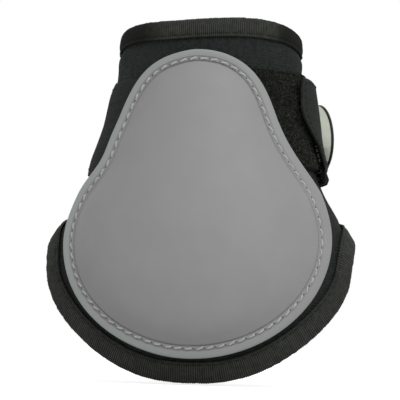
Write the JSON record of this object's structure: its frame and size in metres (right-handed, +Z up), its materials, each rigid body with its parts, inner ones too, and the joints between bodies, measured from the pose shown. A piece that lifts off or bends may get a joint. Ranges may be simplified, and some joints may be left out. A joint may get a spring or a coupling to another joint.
{
  "type": "horse brushing boot",
  "caption": "Fetlock brushing boot for a horse's hind leg: a tape-bound neoprene wrap with a domed, stitched shell and a webbing strap that closes with hook and loop.",
  "frame": {"origin": "on the axis of the leg that the boot is strapped to, at the middle of the strap's height", "axes": "+Z up along the leg, -Y towards the shell on the back of the fetlock, +X to the right as the shell is faced"},
  "size_m": [0.1358, 0.1176, 0.1592],
  "materials": {
    "shell_pu": "smooth, low sheen, moulded polyurethane",
    "neoprene": "fine knitted jersey bonded to foam rubber",
    "binding_tape": "cross-ribbed woven tape",
    "webbing": "ribbed elastic webbing",
    "loop_pile": "fuzzy loop pile",
    "hook_tape": "moulded hooks on woven tape",
    "foam": "closed-cell foam",
    "badge_rubber": "satin moulded rubber, warm grey",
    "badge_plate": "satin, bare",
    "thread": "bonded sewing thread"
  },
  "bodies": {
    "root": {"shell": "shell_pu", "impact_pad": "foam", "neoprene_front_panel": "neoprene", "top_binding_front": "binding_tape", "bottom_binding_front": "binding_tape", "loop_patch": "loop_pile", "strap_anchor": "webbing"},
    "left_wing": {"neoprene_left_wing": "neoprene", "top_binding_left": "binding_tape", "bottom_binding_left": "binding_tape", "end_binding_left": "binding_tape", "strap_sewn": "webbing"},
    "right_wing": {"neoprene_right_wing": "neoprene", "top_binding_right": "binding_tape", "bottom_binding_right": "binding_tape", "end_binding_right": "binding_tape"},
    "strap": {"strap_band": "webbing"},
    "tab": {"strap_tab": "webbing", "hook_patch": "hook_tape", "badge_base": "badge_rubber", "badge_face": "badge_plate"}
  },
  "joints": [
    {"name": "left_wing_flex", "type": "hinge", "parent": "root", "child": "left_wing", "pos_m": [-0.04065, 0.02347, -0.00363], "axis": [0.1168, -0.0674, 0.9909], "range_deg": [0, 60], "stiffness_Nm_per_rad": 0.3},
    {"name": "right_wing_flex", "type": "hinge", "parent": "root", "child": "right_wing", "pos_m": [0.0406, 0.02344, -0.00125], "axis": [-0.1117, -0.0645, 0.9916], "range_deg": [-36, 0], "stiffness_Nm_per_rad": 0.3},
    {"name": "strap_swing", "type": "hinge", "parent": "left_wing", "child": "strap", "pos_m": [-0.00676, 0.0481, -0.00127], "axis": [0.0184, -0.1307, 0.9912], "range_deg": [0, 135]},
    {"name": "tab_peel", "type": "hinge", "parent": "strap", "child": "tab", "pos_m": [0.03457, 0.0384, -0.00064], "axis": [-0.0868, -0.0964, 0.9915], "range_deg": [0, 90]}
  ],
  "couplings": [
    {"joint": "right_wing_flex", "follows": "left_wing_flex", "ratio": -0.6}
  ]
}
